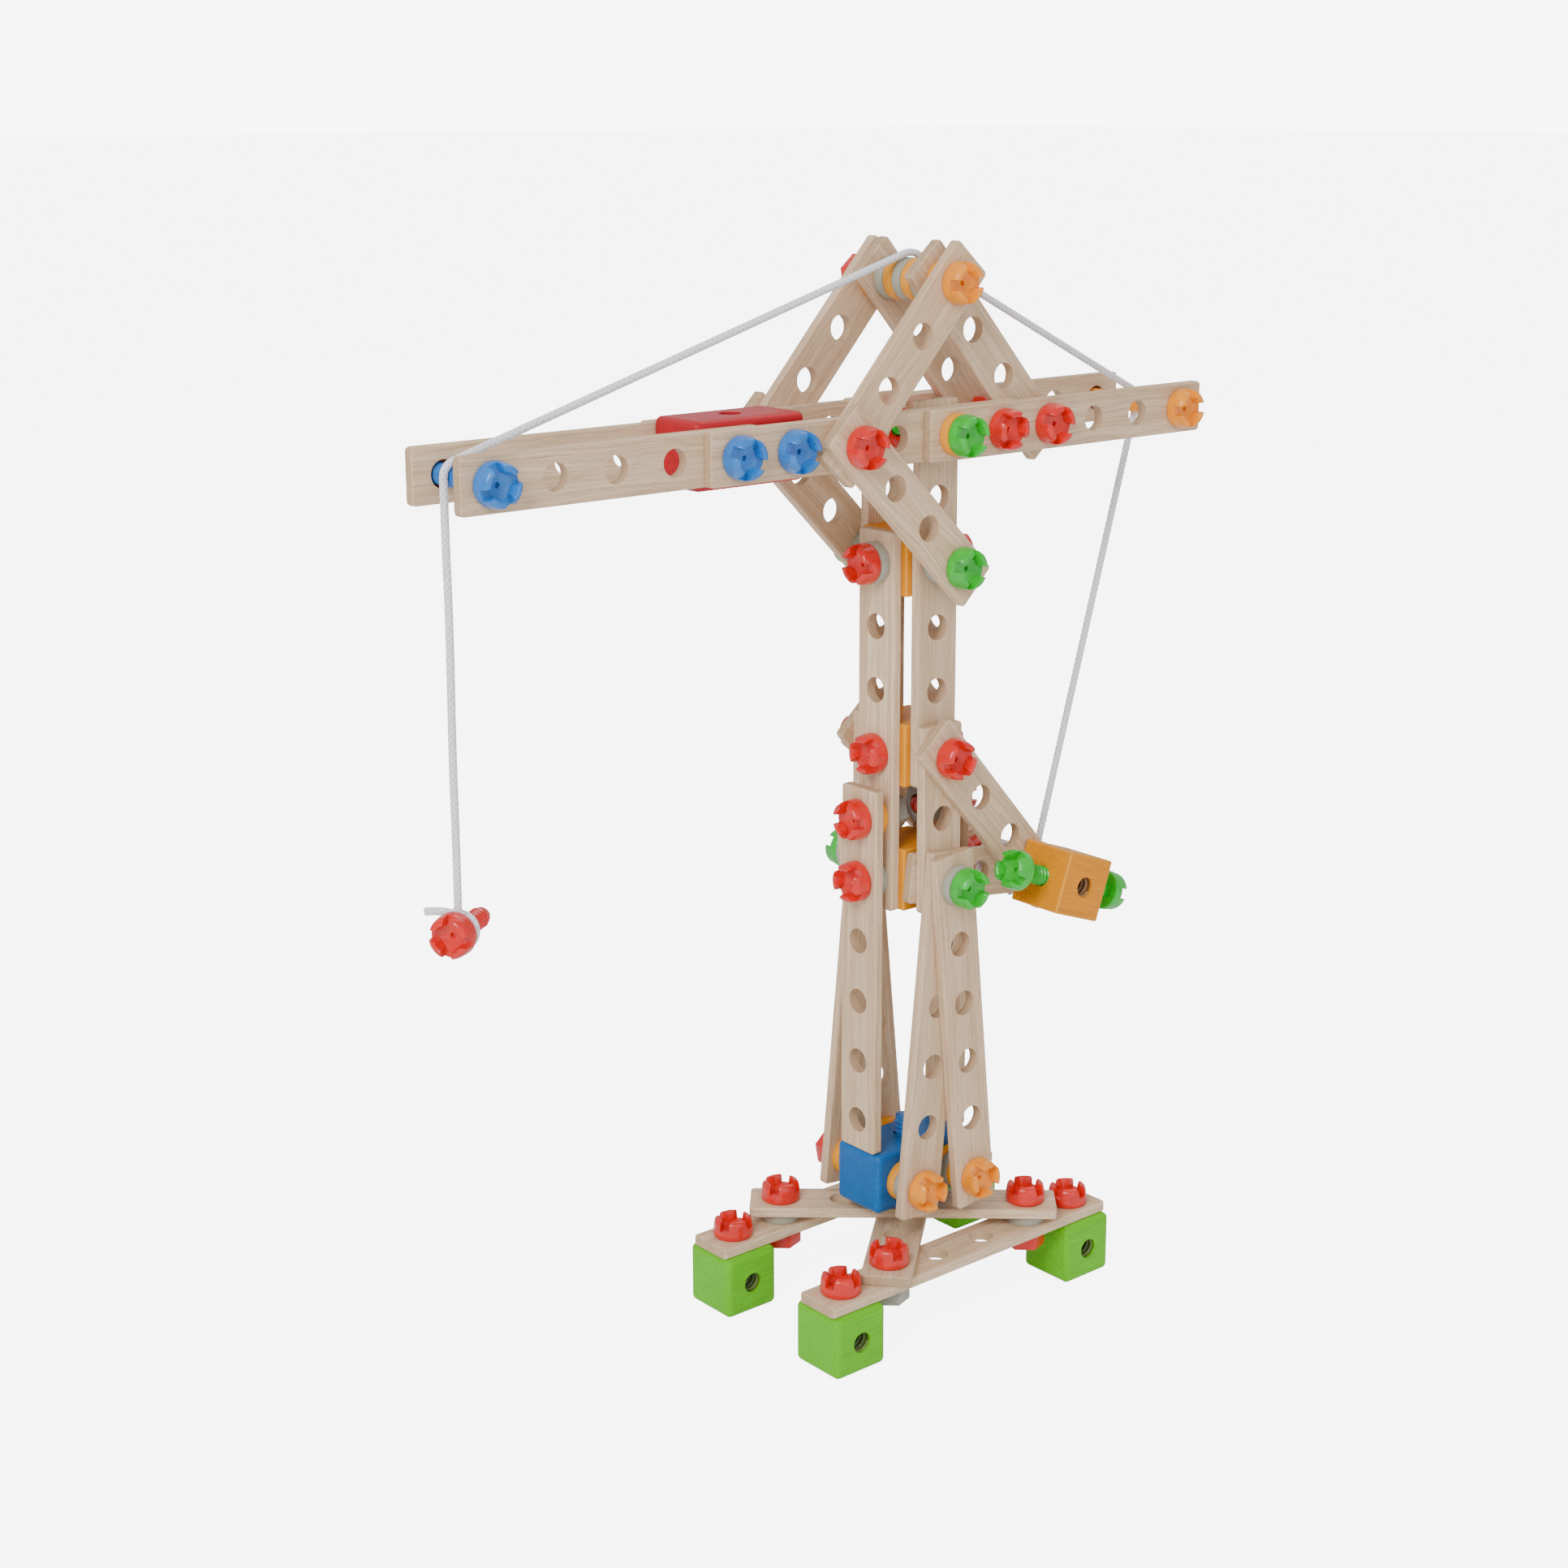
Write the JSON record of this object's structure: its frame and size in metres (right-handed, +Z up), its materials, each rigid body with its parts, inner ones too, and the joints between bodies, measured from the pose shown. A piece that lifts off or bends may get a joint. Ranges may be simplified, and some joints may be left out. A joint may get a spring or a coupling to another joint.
{
  "type": "toy tower crane",
  "caption": "Toy tower crane bolted up from perforated wooden strips and blocks, with turning tower, level jib, spool apex, side winch and a hoisting cord with a hanging load.",
  "frame": {"origin": "on the floor under the middle of the crane's length, in the tower's plane of symmetry; the slewing axis is vertical at x = 0.045 m", "axes": "+Z up, -X towards the jib tip, -Y towards the winch's crank side"},
  "size_m": [0.4264, 0.1183, 0.5104],
  "materials": {
    "strip_wood": "satin, unfinished pale beech",
    "green_paint": "satin painted wood",
    "blue_paint": "satin painted wood",
    "red_paint": "satin painted wood",
    "amber_paint": "satin painted wood",
    "red_plastic": "semi-gloss",
    "green_plastic": "semi-gloss",
    "blue_plastic": "semi-gloss",
    "amber_plastic": "semi-gloss",
    "grey_plastic": "matt",
    "cord": "braided white"
  },
  "bodies": {
    "base": {"foot_tip_near": "green_paint", "foot_tip_far": "green_paint", "foot_rear_near": "green_paint", "foot_rear_far": "green_paint", "rail_near": "strip_wood", "rail_far": "strip_wood", "cross_lower": "strip_wood", "cross_upper": "strip_wood", "base_screws": "red_plastic", "base_nuts": "red_plastic", "base_washers": "grey_plastic", "slew_washer": "grey_plastic"},
    "tower": {"turret_block": "blue_paint", "slew_screw": "blue_plastic", "post_blocks": "amber_paint", "post_near": "strip_wood", "post_far": "strip_wood", "post_tip": "strip_wood", "post_rear": "strip_wood", "splice_strips": "strip_wood", "leg_tip": "strip_wood", "leg_rear": "strip_wood", "leg_near_tip": "strip_wood", "leg_near_rear": "strip_wood", "leg_far_tip": "strip_wood", "leg_far_rear": "strip_wood", "winch_arm_near": "strip_wood", "winch_arm_far": "strip_wood", "winch_prop_near": "strip_wood", "winch_prop_far": "strip_wood", "jib_tip_near": "strip_wood", "jib_tip_far": "strip_wood", "jib_middle_near": "strip_wood", "jib_middle_far": "strip_wood", "jib_rear_near": "strip_wood", "jib_rear_far": "strip_wood", "jib_block": "red_paint", "mast_front_near": "strip_wood", "mast_front_far": "strip_wood", "mast_rear_near": "strip_wood", "mast_rear_far": "strip_wood", "braces": "strip_wood", "red_screws": "red_plastic", "green_screws": "green_plastic", "blue_screws": "blue_plastic", "amber_screws": "amber_plastic", "red_nuts": "red_plastic", "grey_nuts": "grey_plastic", "grey_washers": "grey_plastic", "amber_washers": "amber_plastic", "cord_run": "cord"},
    "top_spool": {"spool_washers": "grey_plastic"},
    "winch": {"winch_axle": "amber_plastic", "winch_block": "amber_paint", "winch_grips": "green_plastic", "winch_nut": "red_plastic", "cord_winding": "cord"},
    "fall": {"cord_fall": "cord"},
    "load": {"load_screw": "red_plastic", "cord_knot": "cord"}
  },
  "joints": [
    {"name": "slew", "type": "hinge", "parent": "base", "child": "tower", "pos_m": [0.045, 0, 0.05], "axis": [0, 0, 1], "continuous": true},
    {"name": "winch_turn", "type": "hinge", "parent": "tower", "child": "winch", "pos_m": [0.10453, 0, 0.2075], "axis": [0, 1, 0], "range_deg": [-780, 660]},
    {"name": "spool_spin", "type": "hinge", "parent": "tower", "child": "top_spool", "pos_m": [0.045, 0, 0.49208], "axis": [0, 1, 0], "continuous": true},
    {"name": "load_swing", "type": "hinge", "parent": "tower", "child": "fall", "pos_m": [-0.195, 0, 0.425], "axis": [0, 1, 0], "range_deg": [-15, 15]},
    {"name": "load_hoist", "type": "slide", "parent": "fall", "child": "load", "axis": [0, 0, 1], "range_m": [-0.176, 0.15], "deforming": ["cord_fall"]}
  ],
  "couplings": [
    {"joint": "load_hoist", "follows": "winch_turn", "m_per_rad": 0.01255},
    {"joint": "spool_spin", "follows": "winch_turn", "ratio": 1.0636}
  ]
}
